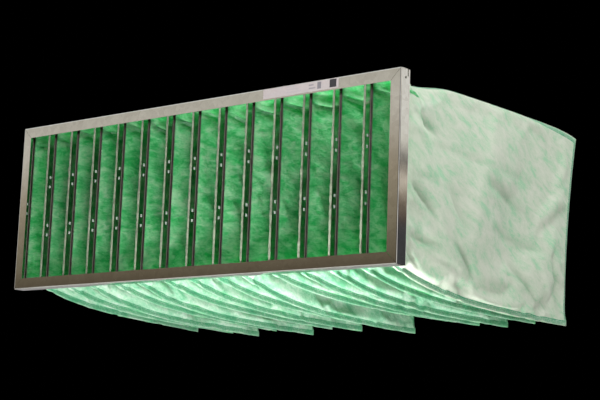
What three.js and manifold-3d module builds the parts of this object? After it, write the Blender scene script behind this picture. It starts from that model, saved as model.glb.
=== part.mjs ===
// Bag air filter: a mitred sheet steel header that holds a row of filter pockets side by side.
// Folded steel pocket frames spread the mouth of each pocket and grip its edge.
// Millimetres, +Z up. Air enters along +Y, through the front of the header.
// The origin is the middle of the header's underside, which stands in the holding frame.

import * as THREE from 'three';
import { mergeVertices } from 'three/addons/utils/BufferGeometryUtils.js';
import Module from 'manifold-3d';

const wasm = await Module();
wasm.setup();

// Header
const headerWidth = 892;
const headerHeight = 312;
const headerDepth = 25;
const headerSheet = 1;
const headerBendRadius = 0.8; // inside radius of the folds
const frontFlangeWidth = 20;
const rearLipWidth = 8.9;
const returnLegDepth = 18; // runs forward from the rear lip, beside the pocket frames
const mitreClearance = 0.5;

// Corner tabs: each rail's tab goes inside the next one's web and shows in a notch there
const tabLength = 14;
const tabWidth = 15.4;
const tabFront = 4.8; // from the header's front to the tab's front edge
const stileNotchLength = 12;
const railNotchLength = 4.5;
const notchClearance = 0.4;
const reliefRadius = 2.6;
const reliefInset = 2.1; // from the notch's end to the hole's centre

// Pocket frames
const pocketCount = 14;
const frameSheet = 0.7;
const frameDepth = 12;
const frameFlangeWidth = 7;
const frameRollDepth = 2; // the flange's inner edge turned back, so that it cannot cut the pocket
const clinchHeight = 4;
const clinchWidth = 3;
const clinchRise = 0.4;
const clinchSpacing = 18; // between the two marks of a pair
const clinchPairOffset = 46; // from mid-height to each pair

// Pockets
const pocketFreeLength = 560; // from the pocket frame to the middle of the end seam
const pocketFlatHeight = 354; // over both seam strips, at the end seam
const crown = 14.5; // how far the top rises between the header and the end
const crownLength = 130; // how far behind the header it gets there
const pocketWall = 2.5;
const mouthWall = 0.8; // pressed thin in the joint
const rawEdge = 1; // medium that stands out in front of the steel
const seamWidth = 9;
const seamThickness = 1.8;
const endSlant = 20; // the end seam's top lies this much further back than its middle
const endHollow = 10; // how far the end seam curves in between its corners
const cornerTip = 7; // the end's lower corner hangs out this much further
const settleLength = 110; // how soon the first pocket takes its sag behind the header
const settleGain = 3; // more for each pocket to the right
const settlePower = 1.1;
const blendLength = 80; // how soon the mouth's rectangle becomes a lens
const foldDepth = 5;
const foldPower = 0.6; // how evenly the folds fill a pocket's length
const foldRoomShare = 0.85;
const foldTurns = { downSide: 5, alongLength: 9, fromPocketToPocket: 2.3 }; // radians
const taperPower = 0.8;
const puffPower = 0.7;
const lensRoundness = 0.55; // 0 spreads a panel's points evenly down it, 1 as on an ellipse
const cornerTipShare = 0.05; // of the panel's height
const bendPower = 3; // how late the end's slant and hollow come in
const tipPower = 8;
const crownRise = 4; // these powers set how suddenly the crown comes and goes
const crownFall = 10;
const seamRoll = 1.3; // radians that the top seam strip lies over to the left
const rollEndShare = 0.68; // from here to the end it stands up

// How far each pocket's end leans to the right, and hangs below the mouth, as shares of its length
const pocketEnds = [
  { lean: -0.150, drop: 0.070 },
  { lean: -0.077, drop: 0.080 },
  { lean: -0.057, drop: 0.095 },
  { lean: -0.080, drop: 0.079 },
  { lean: -0.014, drop: 0.096 },
  { lean: -0.039, drop: 0.079 },
  { lean: -0.014, drop: 0.089 },
  { lean: 0.011, drop: 0.082 },
  { lean: -0.005, drop: 0.104 },
  { lean: 0.054, drop: 0.070 },
  { lean: 0.036, drop: 0.084 },
  { lean: 0.036, drop: 0.093 },
  { lean: 0.029, drop: 0.084 },
  { lean: 0.032, drop: 0.095 },
];

// Label on the top rail
const labelLength = 160;
const labelHeight = 16.5;
const labelThickness = 0.3;
const labelFromEnd = 204; // from the header's right end to the label's middle
const labelInset = 0.8; // from the header's top edge

const clearance = 0.3; // between pieces that touch

// Sizes that follow
const seatWidth = headerWidth - 2 * rearLipWidth;
const pocketPitch = (seatWidth - clearance) / pocketCount;
const mouthHalfWidth = (pocketPitch - clearance) / 2;
const mouthHalfHeight = headerHeight / 2 - rearLipWidth - clearance;
const mouthFront = headerSheet + clearance;
const frameFront = mouthFront + rawEdge;
const frameRear = frameFront + frameDepth;
const frameWidth = 2 * (mouthHalfWidth - mouthWall - clearance);
const frameHeight = 2 * (mouthHalfHeight - mouthWall - clearance);

// Materials
const galvanised = () => new THREE.MeshStandardMaterial({ color: 0xa8a59c, roughness: 0.38, metalness: 0.9 });
const stripSteel = () => new THREE.MeshStandardMaterial({ color: 0x8f8c86, roughness: 0.35, metalness: 0.9 });
const filterMedium = () => new THREE.MeshStandardMaterial({ color: 0x9fcfae, roughness: 0.95, metalness: 0 });
const labelPaper = () => new THREE.MeshStandardMaterial({ color: 0xd9d2d2, roughness: 0.6, metalness: 0 });

// A closed geometry as a solid that can be joined and cut
function solid(geometry) {
  const bare = geometry.clone();
  bare.deleteAttribute('normal');
  bare.deleteAttribute('uv');
  const merged = mergeVertices(bare, 1e-5);
  return new wasm.Manifold(new wasm.Mesh({
    numProp: 3,
    vertProperties: Float32Array.from(merged.attributes.position.array),
    triVerts: Uint32Array.from(merged.index.array),
  }));
}

function geometryOf(body) {
  const { vertProperties, triVerts } = body.getMesh();
  const geometry = new THREE.BufferGeometry();
  geometry.setAttribute('position', new THREE.BufferAttribute(vertProperties, 3));
  geometry.setIndex(new THREE.BufferAttribute(triVerts, 1));
  geometry.computeVertexNormals();
  return geometry;
}

// A box between two corners
function block(low, high) {
  const size = high.map((value, axis) => value - low[axis]);
  const middle = high.map((value, axis) => (value + low[axis]) / 2);
  return solid(new THREE.BoxGeometry(...size).translate(...middle));
}

// A box centred on X and Z between two depths
function plug(width, front, rear, height) {
  return block([-width / 2, front, -height / 2], [width / 2, rear, height / 2]);
}

// Outline of a sheet folded square at each inner point of its middle line
function foldedStrip(path, sheet, insideRadius) {
  const middleRadius = insideRadius + sheet / 2;
  const bendSteps = 3;
  const left = [];
  const right = [];
  const addSample = (point, tangent) => {
    const normal = new THREE.Vector2(-tangent.y, tangent.x).multiplyScalar(sheet / 2);
    left.push(point.clone().add(normal));
    right.unshift(point.clone().sub(normal));
  };
  const direction = (index) => path[index + 1].clone().sub(path[index]).normalize();
  addSample(path[0], direction(0));
  for (let corner = 1; corner < path.length - 1; corner++) {
    const incoming = direction(corner - 1);
    const outgoing = direction(corner);
    const centre = path[corner].clone()
      .addScaledVector(incoming, -middleRadius)
      .addScaledVector(outgoing, middleRadius);
    for (let step = 0; step <= bendSteps; step++) {
      const angle = (step / bendSteps) * Math.PI / 2;
      const point = centre.clone()
        .addScaledVector(outgoing, -middleRadius * Math.cos(angle))
        .addScaledVector(incoming, middleRadius * Math.sin(angle));
      const tangent = incoming.clone().multiplyScalar(Math.cos(angle))
        .addScaledVector(outgoing, Math.sin(angle));
      addSample(point, tangent);
    }
  }
  addSample(path[path.length - 1], direction(path.length - 2));
  return new THREE.Shape([...left, ...right]);
}

// One header rail along X with its outer face on Z = 0 and its front on Y = 0.
// Its tab is at the -X end and its notch, for the next rail's tab, at the +X end.
function headerRail(length, notchLength, hasRelief) {
  const half = headerSheet / 2;
  const section = foldedStrip([
    new THREE.Vector2(half, frontFlangeWidth),
    new THREE.Vector2(half, half),
    new THREE.Vector2(headerDepth - half, half),
    new THREE.Vector2(headerDepth - half, rearLipWidth - half),
    new THREE.Vector2(headerDepth - returnLegDepth, rearLipWidth - half),
  ], headerSheet, headerBendRadius);
  const alongX = new THREE.Matrix4().makeBasis(
    new THREE.Vector3(0, 1, 0), new THREE.Vector3(0, 0, 1), new THREE.Vector3(1, 0, 0));
  const strip = new THREE.ExtrudeGeometry(section, { depth: length, bevelEnabled: false });
  strip.applyMatrix4(alongX).translate(-length / 2, 0, 0);

  const spare = 1; // cutters reach this far past what they cut
  const mitreShift = mitreClearance * Math.SQRT1_2;
  const outerHalf = length / 2 - mitreShift + spare;
  const innerHalf = length / 2 - mitreShift - frontFlangeWidth - spare;
  const mitred = new THREE.ExtrudeGeometry(new THREE.Shape([
    new THREE.Vector2(-outerHalf, -spare),
    new THREE.Vector2(outerHalf, -spare),
    new THREE.Vector2(innerHalf, frontFlangeWidth + spare),
    new THREE.Vector2(-innerHalf, frontFlangeWidth + spare),
  ]), { depth: headerDepth + 2 * spare, bevelEnabled: false });
  mitred.rotateX(Math.PI / 2).translate(0, headerDepth + spare, 0);
  let rail = solid(strip).intersect(solid(mitred));

  const notchStart = length / 2 - notchLength;
  const notchFront = tabFront - notchClearance;
  const notchRear = tabFront + tabWidth + notchClearance;
  rail = rail.subtract(block(
    [notchStart, notchFront, -spare], [length / 2 + spare, notchRear, headerSheet + spare]));
  if (hasRelief) {
    const hole = new THREE.CylinderGeometry(reliefRadius, reliefRadius, 2 * (headerSheet + spare), 14);
    hole.rotateX(Math.PI / 2);
    hole.translate(notchStart - reliefInset, (notchFront + notchRear) / 2, 0);
    rail = rail.subtract(solid(hole));
  }
  const tabOuter = -length / 2 + headerSheet + clearance;
  const tab = block([tabOuter, tabFront, 0], [tabOuter + headerSheet, tabFront + tabWidth, tabLength]);
  return rail.add(tab);
}

// One pocket frame, centred on X and Z, with its clinch pairs at the given heights on each side
function pocketFrame(leftPairs, rightPairs) {
  const openingWidth = frameWidth - 2 * frameFlangeWidth;
  const openingHeight = frameHeight - 2 * frameFlangeWidth;
  const flangeFront = frameRear - frameSheet;
  const rollRear = frameRear + frameRollDepth;
  const opening = plug(openingWidth, frameFront - 1, rollRear + 1, openingHeight);
  const inside = plug(
    frameWidth - 2 * frameSheet, frameFront - 1, flangeFront, frameHeight - 2 * frameSheet);
  const roll = plug(
    openingWidth + 2 * frameSheet, flangeFront, rollRear, openingHeight + 2 * frameSheet);
  let frame = plug(frameWidth, frameFront, frameRear, frameHeight)
    .subtract(inside).add(roll).subtract(opening);

  const addClinches = (side, pairs) => {
    const inner = side * (frameWidth / 2 - frameSheet - clinchRise);
    const outer = side * (frameWidth / 2 - frameSheet / 2);
    const middleY = frameFront + frameDepth / 2;
    for (const pair of pairs) {
      for (const offset of [-clinchSpacing / 2, clinchSpacing / 2]) {
        frame = frame.add(block(
          [Math.min(inner, outer), middleY - clinchWidth / 2, pair + offset - clinchHeight / 2],
          [Math.max(inner, outer), middleY + clinchWidth / 2, pair + offset + clinchHeight / 2]));
      }
    }
  };
  addClinches(-1, leftPairs);
  addClinches(1, rightPairs);
  return frame;
}

// Closed surface through rings that run clockwise as seen from the front: down their right half,
// then up their left half with as many points
function loft(rings) {
  const count = rings[0].length;
  const index = [];
  for (let ring = 0; ring < rings.length - 1; ring++) {
    for (let point = 0; point < count; point++) {
      const next = (point + 1) % count;
      const [a, b] = [ring * count + point, ring * count + next];
      index.push(a, b, a + count, b, b + count, a + count);
    }
  }
  const last = (rings.length - 1) * count;
  for (let point = 0; point < count / 2 - 1; point++) {
    const across = count - 1 - point;
    index.push(point, across, point + 1, point + 1, across, across - 1);
    index.push(last + point, last + point + 1, last + across);
    index.push(last + point + 1, last + across - 1, last + across);
  }
  const geometry = new THREE.BufferGeometry();
  const positions = rings.flat().flatMap((point) => [point.x, point.y, point.z]);
  geometry.setAttribute('position', new THREE.Float32BufferAttribute(positions, 3));
  geometry.setIndex(index);
  return geometry;
}

// Point on the right half of the mouth's outline, at a distance from the middle of its top edge
function mouthPoint(distance) {
  const alongSide = distance - mouthHalfWidth;
  if (alongSide < 0) return { x: distance, z: mouthHalfHeight };
  if (alongSide <= 2 * mouthHalfHeight) return { x: mouthHalfWidth, z: mouthHalfHeight - alongSide };
  return { x: mouthHalfWidth - (alongSide - 2 * mouthHalfHeight), z: -mouthHalfHeight };
}

// Distances along the right half of the mouth at which a ring has its points
function ringDistances() {
  const total = 2 * (mouthHalfWidth + mouthHalfHeight);
  const sideShares = [0, 0.12, 0.3, 0.5, 0.7, 0.88, 1];
  const side = sideShares.map((share) => mouthHalfWidth + share * 2 * mouthHalfHeight);
  return [seamThickness / 2, seamWidth, ...side, total - seamWidth, total - seamThickness / 2];
}

// Where the free part of one pocket lies at a share of its length, from 0 at the frame to 1
function pocketStation(share, end, number) {
  const insideHeader = headerDepth - frameRear;
  const back = Math.max(0, share * pocketFreeLength - insideHeader);
  const backShare = back / (pocketFreeLength - insideHeader);
  const settle = settleLength + settleGain * (number - 1);
  const settled = 1 - Math.exp(-Math.pow(back / settle, settlePower));
  const drop = end.drop * pocketFreeLength;
  const rise = pocketFlatHeight - 2 * mouthHalfHeight - drop;
  const arch = (1 - Math.exp(-Math.pow(back / crownLength, crownRise))) * (1 - backShare ** crownFall);
  const top = mouthHalfHeight + rise * settled + crown * arch;
  const bottom = -mouthHalfHeight - drop * settled;
  const halfSeam = seamThickness / 2;
  const taper = Math.pow(1 - share, taperPower);
  return {
    share,
    backShare,
    depth: frameRear + share * pocketFreeLength,
    top,
    bottom,
    roll: seamRoll * (1 - THREE.MathUtils.smoothstep(share, rollEndShare, 1)),
    middleZ: (top + bottom) / 2,
    halfHeight: (top - bottom) / 2,
    middleX: end.lean * pocketFreeLength * share * share,
    halfWidth: halfSeam + (mouthHalfWidth - halfSeam) * taper,
    taper,
  };
}

// How far a panel's large folds stand off it, with room left for the next pocket
function foldOffset(station, down, puff, side, number) {
  const turn = foldTurns.downSide * down + foldTurns.alongLength * station.share
    + foldTurns.fromPocketToPocket * number + side;
  const wave = Math.sin(turn) * Math.pow(Math.sin(Math.PI * station.backShare), foldPower) * puff;
  const room = foldRoomShare * Math.max(0, pocketPitch / 2 - station.halfWidth);
  return wave * (wave > 0 ? Math.min(foldDepth, room) : foldDepth);
}

// Half a ring of one pocket at a station. A side of 1 gives its right half, and -1 its left.
function pocketHalfRing(station, side, number) {
  const { lerp, clamp, smoothstep } = THREE.MathUtils;
  const distances = ringDistances();
  const total = 2 * (mouthHalfWidth + mouthHalfHeight);
  const last = distances.length - 1;
  const halfSeam = seamThickness / 2;
  const { share, middleZ, halfHeight, roll } = station;
  const panelTop = station.top - seamWidth * Math.cos(roll);
  const panelBottom = station.bottom + seamWidth;
  const blend = smoothstep(share * pocketFreeLength, 0, blendLength);
  return distances.map((distance, index) => {
    const down = clamp((distance - seamWidth) / (total - 2 * seamWidth), 0, 1);
    const mouth = mouthPoint(distance);
    const squareX = halfSeam + (mouth.x - halfSeam) * station.taper;
    const squareZ = middleZ + mouth.z * halfHeight / mouthHalfHeight;
    const puff = Math.pow(Math.sin(Math.PI * down), puffPower);
    const lensX = halfSeam + (station.halfWidth - halfSeam) * puff;
    const rounded = lerp(1 - 2 * down, Math.cos(Math.PI * down), lensRoundness);
    let lensZ = lerp(panelBottom, panelTop, (1 + rounded) / 2);
    let rolledX = 0;
    if (index === 0) {
      lensZ = station.top + side * halfSeam * Math.sin(roll);
      rolledX = seamWidth * Math.sin(roll) * blend;
    }
    if (index === last) lensZ = station.bottom;
    const fold = foldOffset(station, down, puff, side, number);
    const x = Math.max(halfSeam, lerp(squareX, lensX, blend) + fold);
    const z = lerp(squareZ, lensZ, blend);
    const tip = cornerTip * Math.pow(share, tipPower) * Math.exp(-(1 - down) / cornerTipShare);
    const upShare = (z - middleZ) / halfHeight;
    const bend = (endSlant * upShare - endHollow * (1 - upShare ** 2)) * share ** bendPower;
    return new THREE.Vector3(station.middleX + side * x - rolledX, station.depth + bend + tip, z);
  });
}

// One pocket: a bag that starts as a sleeve around its frame and tapers to its end seam
function pocket(end, number) {
  const mouthStation = (depth) => ({ ...pocketStation(0, end, number), depth });
  const sleeveRear = frameRear + clearance;
  const lipShare = (headerDepth + clearance - frameRear) / pocketFreeLength; // just past the rear lips
  const freeShares = [lipShare, 0.06, 0.12, 0.19, 0.27, 0.36, 0.46, 0.56, 0.66, 0.76, 0.87, 1];
  const outerStations = [
    mouthStation(mouthFront), mouthStation(sleeveRear), mouthStation(sleeveRear + pocketWall),
    ...freeShares.map((share) => pocketStation(share, end, number)),
  ];
  const outerRings = outerStations.map((station) => {
    const right = pocketHalfRing(station, 1, number);
    const left = pocketHalfRing(station, -1, number).reverse();
    return [...right, ...left];
  });

  // The hollow keeps the wall's thickness inside each ring, without the seam strips
  const hollowRings = outerStations.slice(0, -1).map((station, ring) => {
    const wall = ring < 2 ? mouthWall : pocketWall;
    const inwardX = (station.halfWidth - wall) / station.halfWidth;
    const inwardZ = (station.halfHeight - wall) / station.halfHeight;
    const count = outerRings[ring].length;
    const tips = [0, count / 2 - 1, count / 2, count - 1];
    return outerRings[ring].filter((point, index) => !tips.includes(index)).map((point) => {
      const x = station.middleX + (point.x - station.middleX) * inwardX;
      const z = station.middleZ + (point.z - station.middleZ) * inwardZ;
      return new THREE.Vector3(x, ring === 0 ? point.y - 1 : point.y, z);
    });
  });
  return solid(loft(outerRings)).subtract(solid(loft(hollowRings)));
}

function namedMesh(name, body, material) {
  const mesh = new THREE.Mesh(geometryOf(body), material);
  mesh.name = name;
  return mesh;
}

// The header's four rails, each turned a quarter from the last
function addHeader(parent) {
  const rails = [
    ['bottom_rail', headerWidth, railNotchLength, false, 0],
    ['right_stile', headerHeight, stileNotchLength, true, -Math.PI / 2],
    ['top_rail', headerWidth, railNotchLength, false, Math.PI],
    ['left_stile', headerHeight, stileNotchLength, true, Math.PI / 2],
  ];
  for (const [name, length, notchLength, hasRelief, turn] of rails) {
    const rail = namedMesh(name, headerRail(length, notchLength, hasRelief), galvanised());
    rail.rotation.y = turn;
    const isStile = length === headerHeight;
    const outward = (isStile ? headerWidth : headerHeight) / 2;
    rail.position.set(-Math.sin(turn) * outward, 0, -Math.cos(turn) * outward);
    parent.add(rail);
  }
}

// Each pocket with its frame in a group of its own, side by side along X
function addPockets(parent) {
  for (let number = 1; number <= pocketCount; number++) {
    const cell = new THREE.Group();
    cell.position.x = (number - (pocketCount + 1) / 2) * pocketPitch;
    const label = String(number).padStart(2, '0');
    const shared = [-clinchPairOffset, clinchPairOffset];
    const frame = pocketFrame(number === 1 ? [0] : shared, number === pocketCount ? [0] : shared);
    cell.add(namedMesh(`pocket_frame_${label}`, frame, stripSteel()));
    const end = pocketEnds[(number - 1) % pocketEnds.length];
    cell.add(namedMesh(`pocket_${label}`, pocket(end, number), filterMedium()));
    parent.add(cell);
  }
}

function addLabel(parent) {
  const sticker = block(
    [-labelLength / 2, -labelThickness, -labelHeight], [labelLength / 2, 0, 0]);
  const mesh = namedMesh('label', sticker, labelPaper());
  mesh.position.set(headerWidth / 2 - labelFromEnd, 0, headerHeight / 2 - labelInset);
  parent.add(mesh);
}

// The header's own centre lies half its height above the origin and half its depth behind the front
const assembly = new THREE.Group();
assembly.position.set(0, -headerDepth / 2, headerHeight / 2);
addHeader(assembly);
addPockets(assembly);
addLabel(assembly);

const bagFilter = new THREE.Group();
bagFilter.add(assembly);

export default bagFilter;
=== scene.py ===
import math

import bmesh
import bpy
import numpy as np
from mathutils import Matrix, Vector


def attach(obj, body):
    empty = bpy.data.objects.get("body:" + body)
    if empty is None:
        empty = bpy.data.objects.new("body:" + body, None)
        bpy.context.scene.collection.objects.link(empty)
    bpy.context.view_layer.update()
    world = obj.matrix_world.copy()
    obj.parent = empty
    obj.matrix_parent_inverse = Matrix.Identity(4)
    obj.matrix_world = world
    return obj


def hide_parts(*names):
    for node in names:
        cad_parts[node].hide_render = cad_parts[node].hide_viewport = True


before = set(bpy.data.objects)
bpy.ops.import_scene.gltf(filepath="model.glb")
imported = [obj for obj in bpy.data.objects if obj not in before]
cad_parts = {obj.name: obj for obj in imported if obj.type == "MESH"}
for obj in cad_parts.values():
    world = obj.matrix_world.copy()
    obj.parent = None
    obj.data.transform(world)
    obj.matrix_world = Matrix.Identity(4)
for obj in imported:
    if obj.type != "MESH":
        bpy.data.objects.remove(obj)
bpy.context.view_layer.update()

header = {
    "height": 0.312,
    "depth": 0.025,
}

pocketForm = {
    "count": 14,
    "pitch": 0.06242,
    "mouthHalfWidth": 0.03106,
    "mouthHalfHeight": 0.1468,
    "mouthFront": 0.0013,  # behind the header's front
    "frameRear": 0.0143,
    "freeLength": 0.560,
    "flatHeight": 0.354,
    "crown": 0.0145,  # how far the top rises between the header and the end
    "crownLength": 0.130,  # how far behind the header it gets there
    "crownRise": 4,  # how suddenly it rises
    "crownFall": 10,  # how late it falls again
    "roll": 1.3,  # the top seam strip lies over to the left, in radians
    "rollEndShare": 0.68,  # from here on it straightens up
    "seamWidth": 0.009,
    "halfSeam": 0.0009,
    "endSlant": 0.020,
    "endHollow": 0.010,  # how far the end seam curves in between its corners
    "bendPower": 3,  # how late the slant and the hollow grow
    "settleLength": 0.110,
    "settleGain": 0.003,  # more for each pocket to the right
    "settlePower": 1.1,
    "blendLength": 0.080,  # how soon the square mouth becomes a lens
    "cornerTip": 0.007,  # the end's lower corner hangs out this far
    "cornerTipShare": 0.05,
    "tipPower": 8,
    "foldDepth": 0.005,
    "foldRoomShare": 0.85,  # of the gap to the next pocket
    "foldTurns": (5, 9, 2.3),  # down the panel, along it, and from pocket to pocket
    "taperPower": 0.8,
    "puffPower": 0.7,  # how full the lens is near its seams
    "lensRoundness": 0.55,
    "mouthWall": 0.0008,
    "wall": 0.0026,
    "rows": 93,  # along the free part
    "rowPower": 1.08,  # rows lie closer near the mouth
    "sideColumns": 56,  # down each panel
}

# lean of the end to the right, and how far it hangs below the mouth
pocketEnds = [
    (-0.084, 0.039), (-0.043, 0.045), (-0.032, 0.053), (-0.045, 0.044), (-0.008, 0.054),
    (-0.022, 0.044), (-0.008, 0.050), (0.006, 0.046), (-0.003, 0.058), (0.030, 0.039),
    (0.020, 0.047), (0.020, 0.052), (0.016, 0.047), (0.018, 0.053),
]

# small form of the panels' outer side
panelForm = {
    "crumple": 0.0006,
    "crumpleFacets": 9,
    "crumpleLength": (0.045, 0.150),
    "swell": 0.0016,
    "looseLength": 0.05,  # the small form is free this far behind the mouth
    "creases": 12,
    "creaseStart": ((0, 0.4), (-0.19, 0.15)),  # along, and in height
    "creaseTurn": (-0.25, 0.5),
    "creaseReach": (0.06, 0.22),
    "creaseHalfWidth": (0.007, 0.014),
    "creaseDepth": (0.0015, 0.0045),
    "outerGain": 1.3,  # the outermost right panel is crumpled more
    "outerRoom": 0.003,
    "fullShadeDepth": 0.0065,  # a crease this deep gets the full painted shade
    # a fold this high gets this share of the full painted highlight
    "fullHighlightHeight": 0.0075,
    "highlightShare": 0.6,
    "seamRoll": 0.0042,
    "gather": 0.0014,
    "gatherPitch": 0.019,
}

# small form of the lofty inner side
innerForm = {
    "fluff": 0.0012,
    "fluffCoarse": 0.0012,
    "fluffFine": 0.0010,
    "fray": 0.0013,
    "frayedLip": 0.0008,
    "crest": 0.088,  # the fold's crest, as a share of the panel's height, from the top
    "crestWander": 0.035,
    "crestSlope": 0.25,
    "fold": 0.020,
    "trough": 0.006,  # below the fold
    "secondFold": 0.007,
    "foldBelow": 0.007,
    # painted shade in the trough below the fold, and a painted highlight on its crest
    "troughShade": 1.3,
    "crestHighlight": 0.95,
}

# creases of the outermost right panel: from (along, height) to (along, height), half width, and depth,
# where plus stands out
outerCreases = [
    ((0.020, 0.096), (0.150, 0.140), 0.012, 0.0085),
    ((0.070, 0.098), (0.128, 0.080), 0.007, -0.0085),
    ((0.030, 0.075), (0.110, 0.070), 0.011, 0.0057),
    ((0.122, 0.060), (0.284, 0.053), 0.005, -0.0030),
    ((0.284, 0.053), (0.490, 0.050), 0.005, -0.0023),
    ((0.033, -0.004), (0.119, -0.002), 0.004, -0.0027),
    ((0.119, -0.002), (0.182, -0.012), 0.004, -0.0023),
    ((0.182, -0.012), (0.331, -0.012), 0.004, -0.0019),
    ((0.034, -0.014), (0.110, -0.060), 0.007, -0.0080),
    ((0.020, -0.100), (0.124, -0.104), 0.009, -0.0085),
    ((0.020, -0.088), (0.110, -0.085), 0.015, 0.0068),
    ((0.169, -0.094), (0.240, -0.143), 0.007, -0.0076),
    ((0.028, -0.124), (0.082, -0.143), 0.006, -0.0085),
    ((0.030, -0.138), (0.140, -0.166), 0.012, 0.0085),
    ((0.108, -0.121), (0.203, -0.143), 0.005, -0.0038),
    ((0.203, -0.143), (0.430, -0.148), 0.005, -0.0027),
    ((0.263, 0.024), (0.430, -0.010), 0.009, -0.0057),
    ((0.160, -0.010), (0.202, -0.066), 0.009, -0.0046),
    ((0.287, -0.050), (0.485, -0.076), 0.009, -0.0053),
    ((0.362, -0.106), (0.470, -0.176), 0.008, -0.0068),
    ((0.426, -0.142), (0.500, -0.194), 0.007, 0.0084),
    ((0.500, -0.080), (0.535, -0.188), 0.007, -0.0065),
    ((0.455, -0.100), (0.520, -0.190), 0.009, 0.0057),
]


# Distances down a panel from its top edge to its lower one, at each column of points, and the last of them
def ringColumns():
    form = pocketForm
    total = 2 * (form["mouthHalfWidth"] + form["mouthHalfHeight"])
    corner = np.linspace(form["seamWidth"], form["mouthHalfWidth"], 5)
    side = np.linspace(form["mouthHalfWidth"], total - form["mouthHalfWidth"], form["sideColumns"] + 1)
    upper = np.concatenate([[form["halfSeam"], 0.005], corner[:-1], side])
    lower = np.concatenate([total - corner[:-1][::-1], [total - 0.005, total - form["halfSeam"]]])
    return np.concatenate([upper, lower]), total


# How far behind the header's front each row of points lies
def rowDepths():
    form = pocketForm
    sleeve = [form["mouthFront"], 0.0021, 0.0025, 0.0080, form["frameRear"] + 0.0003]
    start = form["frameRear"] + 0.0028
    end = form["frameRear"] + form["freeLength"]
    free = start + (end - form["seamWidth"] - start) * np.linspace(0, 1, form["rows"]) ** form["rowPower"]
    return np.concatenate([sleeve, free, [end - 0.006, end - 0.003, end]])


# A bump of height 1 around zero
def bell(value, width):
    return np.exp(-((value / width) ** 2))


def smoothStep(t):
    return t * t * (3 - 2 * t)


# One panel of a pocket as grids: how far it stands off the pocket's middle plane, its depth and its height
def panelGrids(number, end):
    form = pocketForm
    lean, drop = end
    distance, total = ringColumns()
    depth = rowDepths()[:, None]
    share = np.clip((depth - form["frameRear"]) / form["freeLength"], 0, 1)
    share = np.where(depth <= form["frameRear"] + 0.003, 0, share)
    insideHeader = header["depth"] - form["frameRear"]
    back = np.maximum(0, share * form["freeLength"] - insideHeader)
    backShare = back / (form["freeLength"] - insideHeader)
    settle = form["settleLength"] + form["settleGain"] * (number - 1)
    settled = 1 - np.exp(-((back / settle) ** form["settlePower"]))
    rise = form["flatHeight"] - 2 * form["mouthHalfHeight"] - drop
    arched = 1 - np.exp(-((back / form["crownLength"]) ** form["crownRise"]))
    arched = arched * (1 - backShare ** form["crownFall"])
    top = form["mouthHalfHeight"] + rise * settled + form["crown"] * arched
    bottom = -form["mouthHalfHeight"] - drop * settled
    taper = np.clip(share / (1 - form["seamWidth"] / form["freeLength"]), 0, 1)
    widest = form["mouthHalfWidth"] - form["halfSeam"]
    halfWidth = form["halfSeam"] + widest * (1 - taper) ** form["taperPower"]
    middle, halfHeight = (top + bottom) / 2, (top - bottom) / 2

    down = np.clip((distance - form["seamWidth"]) / (total - 2 * form["seamWidth"]), 0, 1)[None, :]
    blend = smoothStep(np.clip(share * form["freeLength"] / form["blendLength"], 0, 1))
    alongSide = distance - form["mouthHalfWidth"]
    belowTop = np.where(alongSide <= 2 * form["mouthHalfHeight"], form["mouthHalfWidth"], total - distance)
    mouthX = np.where(alongSide < 0, distance, belowTop)
    mouthX = form["halfSeam"] + (mouthX - form["halfSeam"]) * (halfWidth - form["halfSeam"]) / widest
    mouthZ = np.clip(form["mouthHalfHeight"] - alongSide, -form["mouthHalfHeight"], form["mouthHalfHeight"])
    mouthZ = middle + mouthZ * halfHeight / form["mouthHalfHeight"]
    puff = np.sin(np.pi * down).clip(0) ** form["puffPower"]
    lensX = form["halfSeam"] + (halfWidth - form["halfSeam"]) * puff
    turned = np.cos(np.pi * down)
    late = np.clip((share - form["rollEndShare"]) / (1 - form["rollEndShare"]), 0, 1)
    roll = form["roll"] * (1 - smoothStep(late))
    upright = form["seamWidth"] * np.cos(roll)
    lensMiddle = (top - upright + bottom + form["seamWidth"]) / 2
    lensHalf = (top - upright - bottom - form["seamWidth"]) / 2
    roundness = form["lensRoundness"]
    lensZ = lensMiddle + lensHalf * (roundness * turned + (1 - roundness) * (1 - 2 * down))
    seamReach = form["seamWidth"] - form["halfSeam"]
    inSeam = np.clip((form["seamWidth"] - distance) / seamReach, 0, 1)
    inSeamBelow = np.clip((distance - total + form["seamWidth"]) / seamReach, 0, 1)
    lensZ = lensZ + upright * inSeam - form["seamWidth"] * inSeamBelow
    standOff = mouthX * (1 - blend) + lensX * blend
    height = mouthZ * (1 - blend) + lensZ * blend
    bend = share ** form["bendPower"]
    reach = depth + form["endSlant"] * bend * (height - middle) / halfHeight
    reach = reach - form["endHollow"] * bend * (1 - ((height - middle) / halfHeight) ** 2)
    tip = share ** form["tipPower"] * np.exp(-((1 - down) / form["cornerTipShare"]))
    reach = reach + form["cornerTip"] * tip
    flat = 0 * standOff
    rolled = np.sin(roll) * inSeam * blend
    return {
        "standOff": standOff,
        "depth": reach,
        "height": height,
        "share": share + flat,
        "backShare": backShare + flat,
        "down": down + flat,
        "blend": blend,
        "puff": puff + flat,
        "middleX": lean * share**2 + flat,
        "middleZ": middle + flat,
        "halfHeight": halfHeight + flat,
        "halfWidth": halfWidth + flat,
        "rollOver": form["seamWidth"] * rolled,
        "rollLift": form["halfSeam"] * rolled,
    }


# The few large folds that a slack panel hangs in, with room for the pocket next to it
def mainFolds(number, side, grids):
    form = pocketForm
    downward, lengthwise, onward = form["foldTurns"]
    turn = downward * grids["down"] + lengthwise * grids["share"] + onward * number + side
    wave = np.sin(turn) * np.sin(np.pi * grids["backShare"]).clip(0) ** 0.6 * grids["puff"]
    room = form["foldRoomShare"] * np.maximum(0, form["pitch"] / 2 - grids["halfWidth"])
    return wave * np.where(wave > 0, np.minimum(form["foldDepth"], room), form["foldDepth"])


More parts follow.
